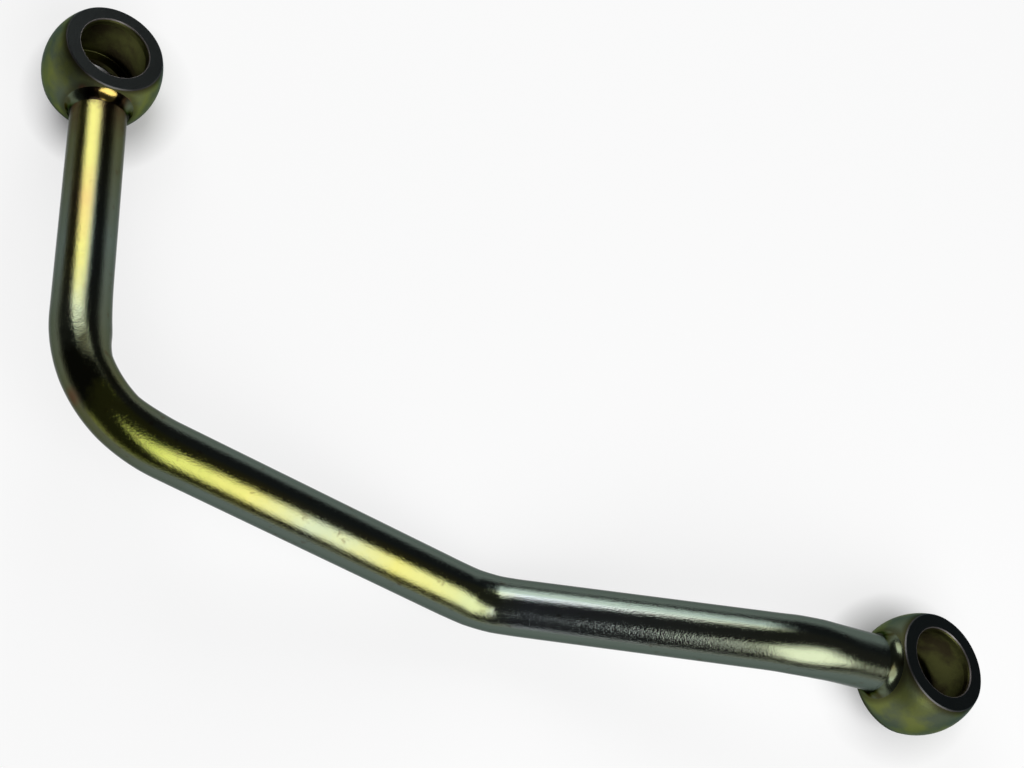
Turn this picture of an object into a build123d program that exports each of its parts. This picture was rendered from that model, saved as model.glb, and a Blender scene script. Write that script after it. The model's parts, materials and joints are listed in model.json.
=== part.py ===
from build123d import *
from math import cos, hypot, pi, radians, sin, tan
import os

# Oil pump pipe of an engine: one steel tube with three bends, brazed at each end into a turned
# ring head that a hollow screw clamps to the engine. All sizes are in millimetres and degrees.

# Tube
TUBE_DIAMETER = 18.0
TUBE_WALL = 1.5
BEND_RADIUS = 40.0

# Bending flattens the tube: at the middle of a bend its inner side is pressed in and its other
# two sides are pushed apart, each in proportion to the angle. These are the values at 90 degrees.
INNER_SIDE_PRESSED = 1.8
SIDES_PUSHED_APART = 0.9
SECTIONS_PER_BEND = 9

# Route of the tube's centre line, from the centre of one ring head to the centre of the other
LONG_RUN = 124.5
MIDDLE_RUN = 141.5
CLIMBING_RUN = 102.5
SHORT_RUN = 45.0
FIRST_BEND = 74.5
CLIMB = 35.5
LAST_HEADING = 87.0

# Ring heads
RING_DIAMETER = 38.0
RING_WIDTH = 24.0
RING_CROWN = 2.9
EDGE_BREAK = 0.4
BORE_DIAMETER = 22.2
BORE_CHAMFER = 0.4
BORE_CHAMFER_DEPTH = 1.0

# Oil groove in the bore, between two lands that keep the screw in the middle
LAND_LENGTH = 2.7
GROOVE_WALL = 4.5
GROOVE_CORNER = 0.5

# Brazed joint between the tube and a ring head
SOCKET_FLOOR = 1.0
SOCKET_CLEARANCE = 0.1
OIL_HOLE_DIAMETER = 13.0
BRAZE_RADIUS = 4.0
BRAZE_RISE = 0.6

# Passes of the search for the plane that the pipe rests on
SETTLING_PASSES = 30

tube_radius = TUBE_DIAMETER / 2
ring_radius = RING_DIAMETER / 2
bore_radius = BORE_DIAMETER / 2
half_width = RING_WIDTH / 2
crown_foot = ring_radius - RING_CROWN
crown_end = half_width - EDGE_BREAK
face_radius = crown_foot - EDGE_BREAK
groove_radius = ring_radius - GROOVE_WALL
groove_corner = min(GROOVE_CORNER, (groove_radius - bore_radius) / 2)
tube_seat = groove_radius + SOCKET_FLOOR

# The filler climbs the ring head's side by a share of its own radius, so the side limits it
braze_radius = min(BRAZE_RADIUS, (crown_end - tube_radius) / BRAZE_RISE)


def heading(turn, climb=0.0):
    """Unit vector that turns from +X towards +Y and climbs towards +Z."""
    flat = cos(radians(climb))
    return Vector(flat * cos(radians(turn)), flat * sin(radians(turn)), sin(radians(climb)))


# Straight runs and the corners between them; both ring heads have their axes along ring_axis
ring_axis = Vector(0, 0, 1)
headings = [heading(0), heading(FIRST_BEND), heading(FIRST_BEND, CLIMB), heading(LAST_HEADING)]
lengths = [LONG_RUN, MIDDLE_RUN, CLIMBING_RUN, SHORT_RUN]
corners = [Vector(0, 0, 0)]
for direction, length in zip(headings, lengths):
    corners.append(corners[-1] + direction * length)


def bend_reach(before, after):
    """Distance from a corner back to where its bend starts."""
    return BEND_RADIUS * tan(radians(before.get_angle(after)) / 2)


def bent_rod_piece(before, corner, after, radius):
    """One bend, round at both ends and flattened on its inner side between them."""
    angle = before.get_angle(after)
    axis = before.cross(after).normalized()
    inward = axis.cross(before)
    centre = corner - before * bend_reach(before, after) + inward * BEND_RADIUS
    outlines = []
    for number in range(SECTIONS_PER_BEND):
        share = number / (SECTIONS_PER_BEND - 1)
        turned = radians(angle) * share
        outward = before * sin(turned) - inward * cos(turned)
        ahead = before * cos(turned) + inward * sin(turned)
        strength = angle / 90 * sin(pi * share) ** 2
        pressed = strength * INNER_SIDE_PRESSED / 2
        pushed = strength * SIDES_PUSHED_APART / 2
        middle_point = centre + outward * (BEND_RADIUS + pressed)
        across = Plane(origin=middle_point, x_dir=axis, z_dir=ahead)
        outlines.append(across * Ellipse(radius + pushed, radius - pressed))
    return loft(outlines)


def bent_rod(radius):
    """Solid along the route, from the floor of one socket to the floor of the other."""
    pieces = []
    run_ends = [corners[0] + headings[0] * tube_seat]
    for before, corner, after in zip(headings, corners[1:-1], headings[1:]):
        reach = bend_reach(before, after)
        run_ends += [corner - before * reach, corner + after * reach]
        pieces.append(bent_rod_piece(before, corner, after, radius))
    run_ends.append(corners[-1] - headings[-1] * tube_seat)
    for start, end in zip(run_ends[::2], run_ends[1::2]):
        run = end - start
        pieces.append(extrude(Plane(origin=start, z_dir=run) * Circle(radius), amount=run.length))
    return pieces[0] + pieces[1:]


def ring_blank():
    """Barrel with two flat faces, solid inside."""
    crown = ThreePointArc((crown_foot, -crown_end), (ring_radius, 0), (crown_foot, crown_end))
    top = Polyline(crown @ 1, (face_radius, half_width), (0, half_width))
    bottom = Polyline((0, -half_width), (face_radius, -half_width), crown @ 0)
    return revolve(Plane.XZ * make_face([crown, top, Line(top @ 1, bottom @ 0), bottom]), Axis.Z)


def bore_space():
    """Space of the bore: a lead-in chamfer at each end and the oil groove between the lands."""
    chamfer_top = bore_radius + BORE_CHAMFER
    straight = half_width - BORE_CHAMFER_DEPTH
    outline = Polyline(
        (0, half_width),
        (chamfer_top, half_width),
        (bore_radius, straight),
        (bore_radius, -straight),
        (chamfer_top, -half_width),
        (0, -half_width),
        close=True,
    )
    groove = Cylinder(groove_radius, RING_WIDTH - 2 * LAND_LENGTH)
    rounded_groove = fillet(groove.edges().filter_by(GeomType.CIRCLE), groove_corner)
    return revolve(Plane.XZ * make_face(outline), Axis.Z) + rounded_groove


def drilled(radius, start, end):
    """Round space along +X, from start to end."""
    return extrude(Plane(origin=(start, 0, 0), z_dir=(1, 0, 0)) * Circle(radius), amount=end - start)


def ring_head():
    """Ring head at the origin, with its socket open towards +X."""
    socket = drilled(tube_radius + SOCKET_CLEARANCE, tube_seat, ring_radius)
    oil_hole = drilled(OIL_HOLE_DIAMETER / 2, 0, tube_seat)
    return ring_blank() - bore_space() - socket - oil_hole


def braze_fillet():
    """Filler metal in the corner between the ring head at the origin and its tube along +X."""
    stub_end = ring_radius + 2 * braze_radius
    joined = ring_blank() + drilled(tube_radius, tube_seat, stub_end)
    seam = joined.edges().filter_by(GeomType.BSPLINE)
    return fillet(seam, braze_radius) - joined


def resting_contacts():
    """Three lowest points when the pipe lies on a table: a face edge of each ring head and the
    underside of the middle bend. The table's direction and the contacts are found in turn."""
    turn_half = radians(CLIMB) / 2
    inward = (headings[2] - headings[1]).normalized()
    bend_centre = corners[2] + inward * (BEND_RADIUS / cos(turn_half))
    bend_axis = headings[1].cross(headings[2]).normalized()
    pressed = CLIMB / 90 * INNER_SIDE_PRESSED / 2
    deep = tube_radius - pressed
    wide = tube_radius + CLIMB / 90 * SIDES_PUSHED_APART / 2
    up = ring_axis
    for _ in range(SETTLING_PASSES):
        across = up - ring_axis * up.dot(ring_axis)
        edge_down = across.normalized() * face_radius if across.length > 0 else Vector(0, 0, 0)
        ring_foot = ring_axis * -half_width - edge_down
        in_bend = (up - bend_axis * up.dot(bend_axis)).normalized()
        down_in = deep * up.dot(in_bend)
        down_across = wide * up.dot(bend_axis)
        skin = (in_bend * deep * down_in + bend_axis * wide * down_across) / hypot(down_in, down_across)
        bend_foot = bend_centre - in_bend * (BEND_RADIUS + pressed) - skin
        first_foot = corners[0] + ring_foot
        last_foot = corners[-1] + ring_foot
        normal = (bend_foot - first_foot).cross(last_foot - first_foot).normalized()
        up = normal if normal.dot(ring_axis) > 0 else -normal
    return first_foot, bend_foot, last_foot, up


# Sub-parts where they lie in the drawing, the ring axes along +Z
first_seat = Plane(origin=corners[0], x_dir=headings[0], z_dir=ring_axis).location
last_seat = Plane(origin=corners[-1], x_dir=-headings[-1], z_dir=ring_axis).location
drawn = {
    "pipe_tube": bent_rod(tube_radius) - bent_rod(tube_radius - TUBE_WALL),
    "ring_head_long_end": first_seat * ring_head(),
    "ring_head_short_end": last_seat * ring_head(),
    "braze_long_end": first_seat * braze_fillet(),
    "braze_short_end": last_seat * braze_fillet(),
}

# The pipe laid on the table: +Z up from the contacts, +X along the climbing run seen from above
first_foot, bend_foot, last_foot, up = resting_contacts()
along = headings[2] - up * headings[2].dot(up)
table = Plane(origin=first_foot, x_dir=along, z_dir=up)
laid = {name: table.to_local_coords(shape) for name, shape in drawn.items()}

# Origin in the middle of the space that it takes up, at the height of its lowest point
space = Compound(list(laid.values())).bounding_box()
middle = Location((-space.center().X, -space.center().Y, -space.min.Z))

os.makedirs("parts", exist_ok=True)
for name, shape in laid.items():
    export_step(middle * shape, f"parts/{name}.step")
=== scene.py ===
import json
from math import atan2, cos, exp, pi, radians, sin, tan

import bmesh
import bpy
from mathutils import Matrix, Vector


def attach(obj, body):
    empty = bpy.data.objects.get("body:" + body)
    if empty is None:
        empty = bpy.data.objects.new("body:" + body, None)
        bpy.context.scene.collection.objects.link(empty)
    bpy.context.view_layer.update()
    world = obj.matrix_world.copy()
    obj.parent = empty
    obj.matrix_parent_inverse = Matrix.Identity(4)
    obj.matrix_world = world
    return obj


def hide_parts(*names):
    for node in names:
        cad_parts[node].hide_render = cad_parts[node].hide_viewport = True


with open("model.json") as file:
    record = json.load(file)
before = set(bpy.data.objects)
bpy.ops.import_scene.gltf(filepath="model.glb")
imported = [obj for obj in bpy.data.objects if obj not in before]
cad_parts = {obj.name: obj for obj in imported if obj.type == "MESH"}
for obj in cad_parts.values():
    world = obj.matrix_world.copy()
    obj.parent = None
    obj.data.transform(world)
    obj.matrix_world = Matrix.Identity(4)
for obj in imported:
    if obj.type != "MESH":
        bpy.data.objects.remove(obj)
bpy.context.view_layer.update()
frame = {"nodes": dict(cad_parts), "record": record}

# Tube: drawn seamless steel, bent three times round a former. Each bend is pressed in on its inner
# side, and the bending machine's clamp has left a low bulge where the first one starts. Zinc plated
# with the rest, under a yellow chromate film that drifts in shade along the tube.
tube_radius = 0.0090
tube_wall = 0.0015
tube_seat = 0.0155
bend_radius = 0.040
runs = (0.1245, 0.1415, 0.1025, 0.0450)
first_bend = radians(74.5)
climb = radians(35.5)
last_heading = radians(87.0)
run_angles = ((0, 0), (first_bend, 0), (first_bend, climb), (last_heading, 0))
inner_side_pressed = 0.0021
sides_pushed_apart = 0.0009
pressing_overrun = 1.15
pressing_onset = 3
clamp_bulge = 0.0009
bulge_past_bend_start = 0.007
bulge_rise = 0.020
bulge_fall = 0.009
bulge_narrowness = 4
outline_points = 96
row_length = 0.0015
rows_closer_in_bends = 1.3

first_bore, last_bore = [mount for mount in frame["record"]["mounts"] if mount["kind"] == "bore"]
ring_axis = Vector(first_bore["axis"])
first_centre = Vector(first_bore["pos_m"])
last_centre = Vector(last_bore["pos_m"])
bore_to_bore = last_centre - first_centre
flat_way = (bore_to_bore - ring_axis * bore_to_bore.dot(ring_axis)).normalized()
reach_ahead = sum(run * cos(rise) * cos(turn) for (turn, rise), run in zip(run_angles, runs))
reach_aside = sum(run * cos(rise) * sin(turn) for (turn, rise), run in zip(run_angles, runs))
ahead = Matrix.Rotation(-atan2(reach_aside, reach_ahead), 3, ring_axis) @ flat_way
aside = ring_axis.cross(ahead)
headings = []
for turn, rise in run_angles:
    headings.append((ahead * cos(turn) + aside * sin(turn)) * cos(rise) + ring_axis * sin(rise))
bend_reaches = [bend_radius * tan(before.angle(after) / 2) for before, after in zip(headings, headings[1:])]
cut_back = [tube_seat, *bend_reaches, tube_seat]

tube_mesh = bmesh.new()
along_layer = tube_mesh.verts.layers.float.new("along")
facing_layer = tube_mesh.verts.layers.float.new("facing")
row_centre = first_centre + headings[0] * tube_seat
stand = Matrix.Translation(row_centre) @ headings[0].to_track_quat("Z", "Y").to_matrix().to_4x4()
bmesh.ops.create_circle(tube_mesh, segments=outline_points, radius=tube_radius, matrix=stand)
row_edges = tube_mesh.edges[:]
travelled = tube_seat
rows = []


def keep_row(edges, centre, way, outward, squeeze, travel):
    """Remembers one ring of the tube's points, with its place on the route."""
    points = list({point for edge in edges for point in edge.verts})
    rows.append((points, centre, way, outward, squeeze, travel))


keep_row(row_edges, row_centre, headings[0], headings[0].orthogonal().normalized(), 0, travelled)
for number, way in enumerate(headings):
    straight = runs[number] - cut_back[number] - cut_back[number + 1]
    steps = round(straight / row_length)
    for _ in range(steps):
        pulled = bmesh.ops.extrude_edge_only(tube_mesh, edges=row_edges)["geom"]
        new_points = [item for item in pulled if isinstance(item, bmesh.types.BMVert)]
        row_edges = [item for item in pulled if isinstance(item, bmesh.types.BMEdge)]
        bmesh.ops.translate(tube_mesh, verts=new_points, vec=way * (straight / steps))
        row_centre = row_centre + way * (straight / steps)
        travelled += straight / steps
        keep_row(row_edges, row_centre, way, way.orthogonal().normalized(), 0, travelled)
    if way is headings[-1]:
        break
    turn = way.angle(headings[number + 1])
    bend_axis = way.cross(headings[number + 1]).normalized()
    inward = bend_axis.cross(way)
    bend_centre = row_centre + inward * bend_radius
    steps = round(turn * bend_radius / row_length * rows_closer_in_bends)
    for step in range(steps):
        spun = bmesh.ops.spin(tube_mesh, geom=row_edges, cent=bend_centre, axis=bend_axis,
                              angle=turn / steps, steps=1, use_merge=False)["geom_last"]
        row_edges = [item for item in spun if isinstance(item, bmesh.types.BMEdge)]
        share = (step + 1) / steps
        outward = Matrix.Rotation(turn * share, 3, bend_axis) @ -inward
        row_centre = bend_centre + outward * bend_radius
        travelled += turn * bend_radius / steps
        pressing = min(1, (pressing_overrun * sin(pi * share)) ** pressing_onset)
        squeeze = turn / (pi / 2) * pressing
        keep_row(row_edges, row_centre, bend_axis.cross(outward), outward, squeeze, travelled)

# Each row of points is pressed into its oval or out into the bulge. It remembers how far along the
# tube it lies, and how squarely it faces the camera, so that the film can paint the side towards the
# camera lighter and the flanks darker, as painted light and shade.
toward_camera = Vector((-0.10, -0.28, 0.955)).normalized()
bulge_middle = runs[0] - bend_reaches[0] + bulge_past_bend_start
bulge_side = headings[1]
for points, centre, way, outward, squeeze, travel in rows:
    side = way.cross(outward)
    pressed = inner_side_pressed * squeeze / 2
    pushed = sides_pushed_apart * squeeze / 2
    bulge_reach = bulge_rise if travel < bulge_middle else bulge_fall
    bulge = clamp_bulge * exp(-((travel - bulge_middle) / bulge_reach * 2) ** 2)
    for point in points:
        arm = point.co - centre
        point[along_layer] = travel / travelled
        point[facing_layer] = arm.normalized().dot(toward_camera)
        out = arm.dot(outward) * (1 - pressed / tube_radius) + pressed
        across = arm.dot(side) * (1 + pushed / tube_radius)
        swell = max(0, arm.dot(bulge_side) / tube_radius) ** bulge_narrowness * bulge
        point.co = centre + outward * out + side * across + bulge_side * swell
bmesh.ops.recalc_face_normals(tube_mesh, faces=tube_mesh.faces)
for face in tube_mesh.faces:
    face.smooth = True
tube_data = bpy.data.meshes.new("tube_skin")
tube_mesh.to_mesh(tube_data)
tube_mesh.free()
tube_skin = bpy.data.objects.new("tube_skin", tube_data)
bpy.context.scene.collection.objects.link(tube_skin)
wall = tube_skin.modifiers.new("wall", "SOLIDIFY")
wall.thickness = tube_wall
wall.offset = -1
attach(tube_skin, "root")
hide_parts("pipe_tube")

# The film's shades: gold, lime and silver along the side towards the camera, olive and grey down the
# flanks, with brown stains here and there and a spot of rust on the outside of the first bend. The
# flanks are painted darker than the side towards the camera, and the first bend is painted dark:
# painted light and shade.
gold = (0.215, 0.205, 0.062)
amber = (0.220, 0.170, 0.060)
pale = (0.170, 0.190, 0.125)
lime = (0.160, 0.175, 0.040)
pale_lime = (0.180, 0.200, 0.105)
silver = (0.225, 0.248, 0.252)
# The near-black film on the first bend is painted shade.
bend_painted_shade = (0.040, 0.042, 0.024)
flank_olive = (0.085, 0.090, 0.045)
flank_grey = (0.105, 0.132, 0.112)
stain = (0.060, 0.040, 0.020)
rust = (0.095, 0.056, 0.032)
tube_edge_tint = (0.46, 0.48, 0.47, 1)
haze_scale = 140
haze_detail = 4
haze_clears = 0.05
haze_dulls = 0.06
grain_detail = 2
shade_wander = 0.10
# Where the darker flanks, a painted shade, end and the lighter side towards the camera begins.
shaded_flank_end = 0.75
lit_side_start = 0.87
stain_start = 0.64
stain_full = 0.74
stain_depth = 0.55
rust_on_bend = (-0.1263, -0.0414, 0.0490)
bend_rust_core = 0.0008
bend_rust_reach = 0.0045


def added(tree, kind, feeds, **settings):
    """New node, its inputs given a value each or fed by another node's output."""
    node = tree.nodes.new(kind)
    for name, value in settings.items():
        setattr(node, name, value)
    for inlet, feed in feeds.items():
        if isinstance(feed, bpy.types.NodeSocket):
            tree.links.new(feed, node.inputs[inlet])
        else:
            node.inputs[inlet].default_value = feed
    return node


def reckoned(tree, operation, *terms, **settings):
    """Result of a sum on numbers."""
    node = added(tree, "ShaderNodeMath", dict(enumerate(terms)), operation=operation, **settings)
    return node.outputs["Value"]


def measured(tree, operation, *places):
    """Length, distance or reach that a sum on places gives."""
    return added(tree, "ShaderNodeVectorMath", dict(enumerate(places)), operation=operation).outputs["Value"]


def ranged(tree, value, start, end, low=0.0, high=1.0, course="LINEAR"):
    """Number that goes from low to high while a value goes from start to end."""
    feeds = {"Value": value, "From Min": start, "From Max": end, "To Min": low, "To Max": high}
    return added(tree, "ShaderNodeMapRange", feeds, interpolation_type=course).outputs["Result"]


def patches(tree, place, scale, detail, roughness=0.5):
    """Random pattern of soft patches."""
    feeds = {"Vector": place, "Scale": scale, "Detail": detail, "Roughness": roughness}
    return added(tree, "ShaderNodeTexNoise", feeds).outputs["Fac"]


def shades(tree, share, *stops):
    """Film that takes the colour of each (position, colour) in turn while a share rises."""
    ramp = added(tree, "ShaderNodeValToRGB", {"Fac": share})
    first_stop, last_stop = ramp.color_ramp.elements
    first_stop.position, last_stop.position = stops[0][0], stops[-1][0]
    first_stop.color, last_stop.color = (*stops[0][1], 1), (*stops[-1][1], 1)
    for position, colour in stops[1:-1]:
        ramp.color_ramp.elements.new(position).color = (*colour, 1)
    return ramp.outputs["Color"]


def mixed(tree, share, first, second):
    """Two films mixed, with none of the second one where the share is 0."""
    mix = added(tree, "ShaderNodeMix", {"Factor": share}, data_type="RGBA")
    colour_inlets = [inlet for inlet in mix.inputs if inlet.type == "RGBA"]
    for inlet, film in zip(colour_inlets, (first, second)):
        if isinstance(film, tuple):
            inlet.default_value = (*film, 1)
        else:
            tree.links.new(film, inlet)
    return next(outlet for outlet in mix.outputs if outlet.type == "RGBA")


def stained_at(tree, place, film, colour, middle, core, reach):
    """Film with one soft round stain of another colour."""
    away = measured(tree, "DISTANCE", place, middle)
    return mixed(tree, ranged(tree, away, reach, core, course="SMOOTHSTEP"), film, colour)


def plated_steel(name, roughness, edge_tint, grain_size, grain_height):
    """Zinc plated steel with a hazy, grained skin and no film yet."""
    steel = bpy.data.materials.new(name)
    steel.use_nodes = True
    tree = steel.node_tree
    place = tree.nodes.new("ShaderNodeTexCoord").outputs["Object"]
    haze = patches(tree, place, haze_scale, haze_detail)
    grain = patches(tree, place, 1 / grain_size, grain_detail)
    relief = added(tree, "ShaderNodeBump", {"Strength": 1.0, "Distance": grain_height, "Height": grain})
    shader = tree.nodes["Principled BSDF"]
    shader.inputs["Metallic"].default_value = 1.0
    shader.inputs["Specular Tint"].default_value = edge_tint
    dullness = ranged(tree, haze, 0, 1, low=roughness - haze_clears, high=roughness + haze_dulls)
    tree.links.new(dullness, shader.inputs["Roughness"])
    tree.links.new(relief.outputs["Normal"], shader.inputs["Normal"])
    return steel, tree, place


def coat(tree, film):
    """Puts a finished film on plated steel."""
    tree.links.new(film, tree.nodes["Principled BSDF"].inputs["Base Color"])


tube_plating, tree, place = plated_steel("tube_plating", roughness=0.115, edge_tint=tube_edge_tint,
                                         grain_size=0.00045, grain_height=0.000088)
along = added(tree, "ShaderNodeAttribute", {}, attribute_name="along").outputs["Fac"]
facing = added(tree, "ShaderNodeAttribute", {}, attribute_name="facing").outputs["Fac"]
drift = patches(tree, place, scale=45, detail=6, roughness=0.68)
along_tube = reckoned(tree, "MULTIPLY_ADD", drift, shade_wander, along)
# The dark stops on the first bend are painted shade, not a film colour.
lit_side_film = shades(tree, along_tube, (0.098, stain), (0.118, gold), (0.15, gold), (0.20, amber),
                    (0.25, gold), (0.308, pale), (0.328, bend_painted_shade), (0.356, bend_painted_shade), (0.370, lime),
                    (0.42, lime), (0.50, gold), (0.56, pale), (0.62, gold), (0.72, pale_lime),
                    (0.755, silver), (0.95, pale))
shaded_flank_film = shades(tree, along_tube, (0.108, stain), (0.138, flank_olive), (0.24, flank_grey),
                    (0.36, flank_olive), (0.46, flank_grey), (0.90, flank_grey))
# The side towards the camera gets the lighter film and the flanks the darker one: painted light and shade.
painted_lit_side = ranged(tree, facing, shaded_flank_end, lit_side_start, course="SMOOTHSTEP")
film = mixed(tree, painted_lit_side, shaded_flank_film, lit_side_film)
spots = patches(tree, place, scale=300, detail=3)
film = mixed(tree, ranged(tree, spots, stain_start, stain_full, high=stain_depth), film, stain)
film = stained_at(tree, place, film, rust, rust_on_bend, bend_rust_core, bend_rust_reach)
coat(tree, film)
tube_data.materials.append(tube_plating)

# Ring heads: turned from bar with a crowned side, two flat sealing faces and a grooved bore, then
# plated with the tube. The faces are smooth and dark, the side is satin, and the bore is olive.
side_olive = (0.155, 0.178, 0.055)
side_grey = (0.095, 0.115, 0.075)
side_brown = (0.046, 0.044, 0.020)
face_dark = (0.032, 0.036, 0.035)
bore_olive = (0.100, 0.104, 0.034)
bore_brown = (0.050, 0.042, 0.020)
worn_edge = (0.300, 0.278, 0.270)
rubbed_edge = (0.060, 0.057, 0.055)
head_edge_tint = (0.32, 0.37, 0.40, 1)
face_height = 0.01185
edge_height = 0.0116
bore_reach = 0.0147
face_middle = 0.0137
face_half = 0.0021
# Where the painted shade near the faces and near the braze starts and is full.
face_shade_start = 0.0088
face_shade_full = 0.0118
braze_shade_start = 0.0140
braze_shade_full = 0.0158
braze_shade_depth = 0.7
rust_beside_braze = ((-0.1478, 0.0611, 0.0312), (-0.1347, 0.0617, 0.0266))
braze_rust_core = 0.0004
braze_rust_reach = 0.0022
heads = (("long_end", first_centre, headings[0]), ("short_end", last_centre, -headings[-1]))
for end, centre, tube_way in heads:
    head_plating, tree, place = plated_steel(f"head_plating_{end}", roughness=0.41, edge_tint=head_edge_tint,
                                             grain_size=0.0006, grain_height=0.00004)
    arm = added(tree, "ShaderNodeVectorMath", {0: place, 1: centre}, operation="SUBTRACT").outputs["Vector"]
    off_axis = added(tree, "ShaderNodeVectorMath", {0: arm, 1: ring_axis}, operation="CROSS_PRODUCT")
    distance = measured(tree, "LENGTH", off_axis.outputs["Vector"])
    height = reckoned(tree, "ABSOLUTE", measured(tree, "DOT_PRODUCT", arm, ring_axis))
    towards_tube = measured(tree, "DOT_PRODUCT", arm, tube_way)
    # The crowned side is painted brown-black near both faces and near the braze: painted shade.
    painted_shade_near_face = ranged(tree, height, face_shade_start, face_shade_full, course="SMOOTHSTEP")
    painted_shade_near_braze = ranged(tree, towards_tube, braze_shade_start, braze_shade_full,
                        high=braze_shade_depth, course="SMOOTHSTEP")
    in_bore = reckoned(tree, "LESS_THAN", distance, bore_reach)
    on_face = reckoned(tree, "GREATER_THAN", height, face_height)
    at_edge_height = reckoned(tree, "GREATER_THAN", height, edge_height)
    inside_face = reckoned(tree, "COMPARE", distance, face_middle, face_half)
    on_edge = reckoned(tree, "SUBTRACT", at_edge_height, inside_face, use_clamp=True)

    drift = patches(tree, place, scale=90, detail=5)
    side_film = shades(tree, drift, (0.38, side_grey), (0.58, side_olive))
    film = mixed(tree, reckoned(tree, "MAXIMUM", painted_shade_near_face, painted_shade_near_braze), side_film, side_brown)
    for rust_place in rust_beside_braze:
        film = stained_at(tree, place, film, rust, rust_place, braze_rust_core, braze_rust_reach)
    film = mixed(tree, in_bore, film, shades(tree, drift, (0.42, bore_brown), (0.56, bore_olive)))
    film = mixed(tree, on_face, film, face_dark)
    film = mixed(tree, on_edge, film, mixed(tree, in_bore, rubbed_edge, worn_edge))
    coat(tree, film)
    frame["nodes"][f"ring_head_{end}"].data.materials.clear()
    frame["nodes"][f"ring_head_{end}"].data.materials.append(head_plating)

# Brazing filler in the corner between each ring head and the tube: run in hot, then plated over.
# It is painted nearly black round one gold spot, a painted shade round a painted highlight; towards
# its ends it is like the heads.
braze_highlight_gold = (0.300, 0.222, 0.060)
braze_copper = (0.060, 0.036, 0.016)
braze_brown = (0.008, 0.006, 0.004)
braze_edge_tint = (0.25, 0.25, 0.25, 1)
# The gold spot is a painted highlight, and the near-black round it is painted shade.
highlight_place = (-0.1400, 0.0611, 0.0313)
highlight_core = 0.0024
highlight_reach = 0.0032
shade_core = 0.0060
shade_reach = 0.0095
braze_plating, tree, place = plated_steel("braze_plating", roughness=0.22, edge_tint=braze_edge_tint,
                                          grain_size=0.0012, grain_height=0.00003)
drift = patches(tree, place, scale=180, detail=2)
clean_film = shades(tree, drift, (0.36, side_brown), (0.60, side_grey))
painted_shade_film = shades(tree, drift, (0.50, braze_brown), (0.70, braze_copper))
film = stained_at(tree, place, clean_film, painted_shade_film, highlight_place, shade_core, shade_reach)
film = stained_at(tree, place, film, braze_highlight_gold, highlight_place, highlight_core, highlight_reach)
coat(tree, film)
for end in ("long_end", "short_end"):
    frame["nodes"][f"braze_{end}"].data.materials.clear()
    frame["nodes"][f"braze_{end}"].data.materials.append(braze_plating)

# Floor: a plain pale sheet of paper that the pipe lies on. A share of it shows as plain white, and
# the rest is lit, so the shadows stay. Under the ring heads, inside their shadow, none is white.
floor_reach = 3.0
floor_sides = 64
paper_colour = (0.88, 0.88, 0.88, 1)
paper_roughness = 0.9
paper_sheen = 0.1
white_share = 0.75
white_from = 0.024
white_full = 0.034
floor_mesh = bmesh.new()
bmesh.ops.create_circle(floor_mesh, cap_ends=True, segments=floor_sides, radius=floor_reach)
floor_data = bpy.data.meshes.new("floor")
floor_mesh.to_mesh(floor_data)
floor_mesh.free()
floor = bpy.data.objects.new("floor", floor_data)
bpy.context.scene.collection.objects.link(floor)
paper = bpy.data.materials.new("paper")
paper.use_nodes = True
tree = paper.node_tree
lit_paper = tree.nodes["Principled BSDF"]
lit_paper.inputs["Base Color"].default_value = paper_colour
lit_paper.inputs["Roughness"].default_value = paper_roughness
lit_paper.inputs["Specular IOR Level"].default_value = paper_sheen
plain_white = tree.nodes.new("ShaderNodeEmission")
rays = tree.nodes.new("ShaderNodeLightPath").outputs
seen = reckoned(tree, "MAXIMUM", rays["Is Camera Ray"], rays["Is Glossy Ray"])
seen = reckoned(tree, "MAXIMUM", seen, rays["Is Transmission Ray"])
white = reckoned(tree, "MULTIPLY", seen, white_share)
place = tree.nodes.new("ShaderNodeTexCoord").outputs["Object"]
for centre in (first_centre, last_centre):
    from_head = measured(tree, "DISTANCE", place, centre)
    white = reckoned(tree, "MULTIPLY", white, ranged(tree, from_head, white_from, white_full))
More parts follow.
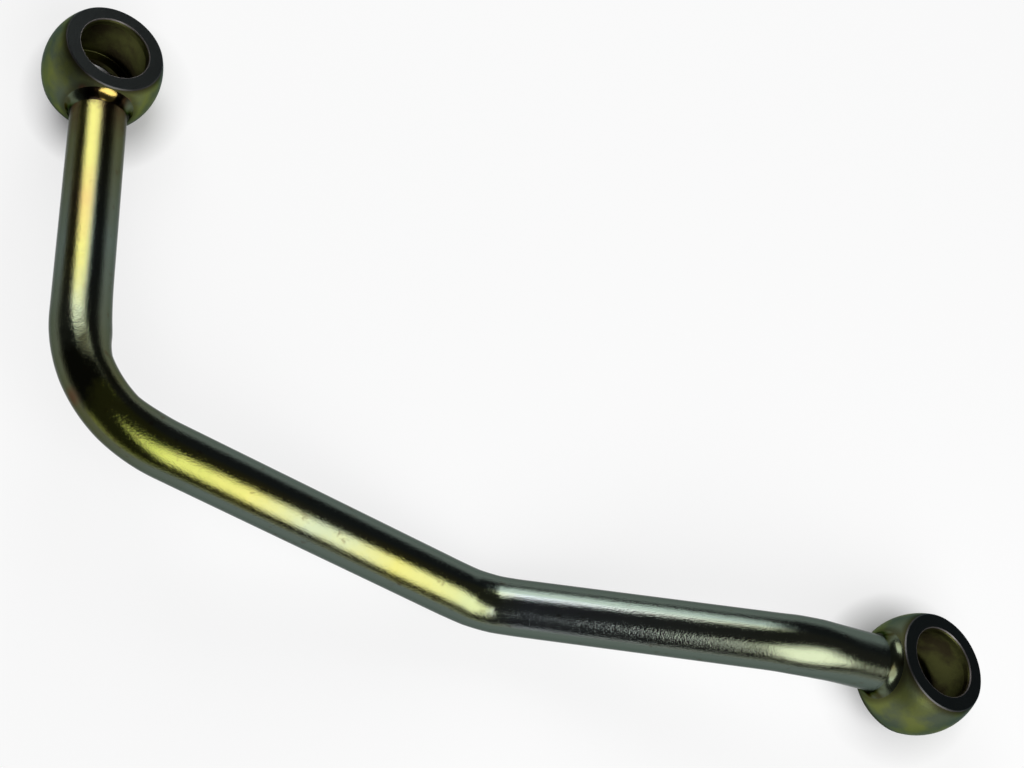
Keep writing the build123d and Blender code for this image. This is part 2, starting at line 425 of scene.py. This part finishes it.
both = added(tree, "ShaderNodeMixShader", {0: white, 1: lit_paper.outputs[0], 2: plain_white.outputs[0]})
tree.links.new(both.outputs[0], tree.nodes["Material Output"].inputs["Surface"])
floor_data.materials.append(paper)

# Two soft boxes in a dark room, as the two long highlights in the plating show: one on the camera's
# side of the pipe and one on its far side. The room gives back a little grey light.
room_grey = (0.05, 0.05, 0.055, 1)


def soft_box(name, azimuth, zenith, distance, width, height, radiance):
    """Area lamp that faces the pipe from a compass angle and an angle from straight up."""
    lamp = bpy.data.lights.new(name, "AREA")
    lamp.shape = "RECTANGLE"
    lamp.size = width
    lamp.size_y = height
    lamp.energy = radiance * pi * width * height
    box = bpy.data.objects.new(name, lamp)
    turn = Matrix.Rotation(radians(azimuth + 90), 4, "Z") @ Matrix.Rotation(radians(zenith), 4, "X")
    box.matrix_world = turn @ Matrix.Translation((0, 0, distance))
    bpy.context.scene.collection.objects.link(box)


soft_box("key_box", azimuth=304, zenith=46, distance=1.0, width=0.93, height=0.82, radiance=4.3)
soft_box("side_box", azimuth=112, zenith=55, distance=1.0, width=0.70, height=0.60, radiance=4.6)
room = bpy.data.worlds.new("room")
room.use_nodes = True
room.node_tree.nodes["Background"].inputs["Color"].default_value = room_grey
bpy.context.scene.world = room

# Camera: nearly straight above the pipe and about half a metre away, rolled so that the pipe runs
# from the upper left to the lower right of the picture.
camera_place = Vector((-0.0567, -0.1541, 0.5325))
camera_target = Vector((0.0046, 0.0007, 0.0))
camera_roll = radians(31.33)
camera_lens = 58.92
camera_sensor = 36.0
camera_far_end = 20
camera_data = bpy.data.cameras.new("camera")
camera_data.lens = camera_lens
camera_data.sensor_width = camera_sensor
camera_data.clip_end = camera_far_end
camera = bpy.data.objects.new("camera", camera_data)
look = (camera_target - camera_place).to_track_quat("-Z", "Y").to_matrix().to_4x4()
camera.matrix_world = Matrix.Translation(camera_place) @ look @ Matrix.Rotation(camera_roll, 4, "Z")
bpy.context.scene.collection.objects.link(camera)
bpy.context.scene.camera = camera
bpy.context.scene.view_settings.view_transform = "Standard"
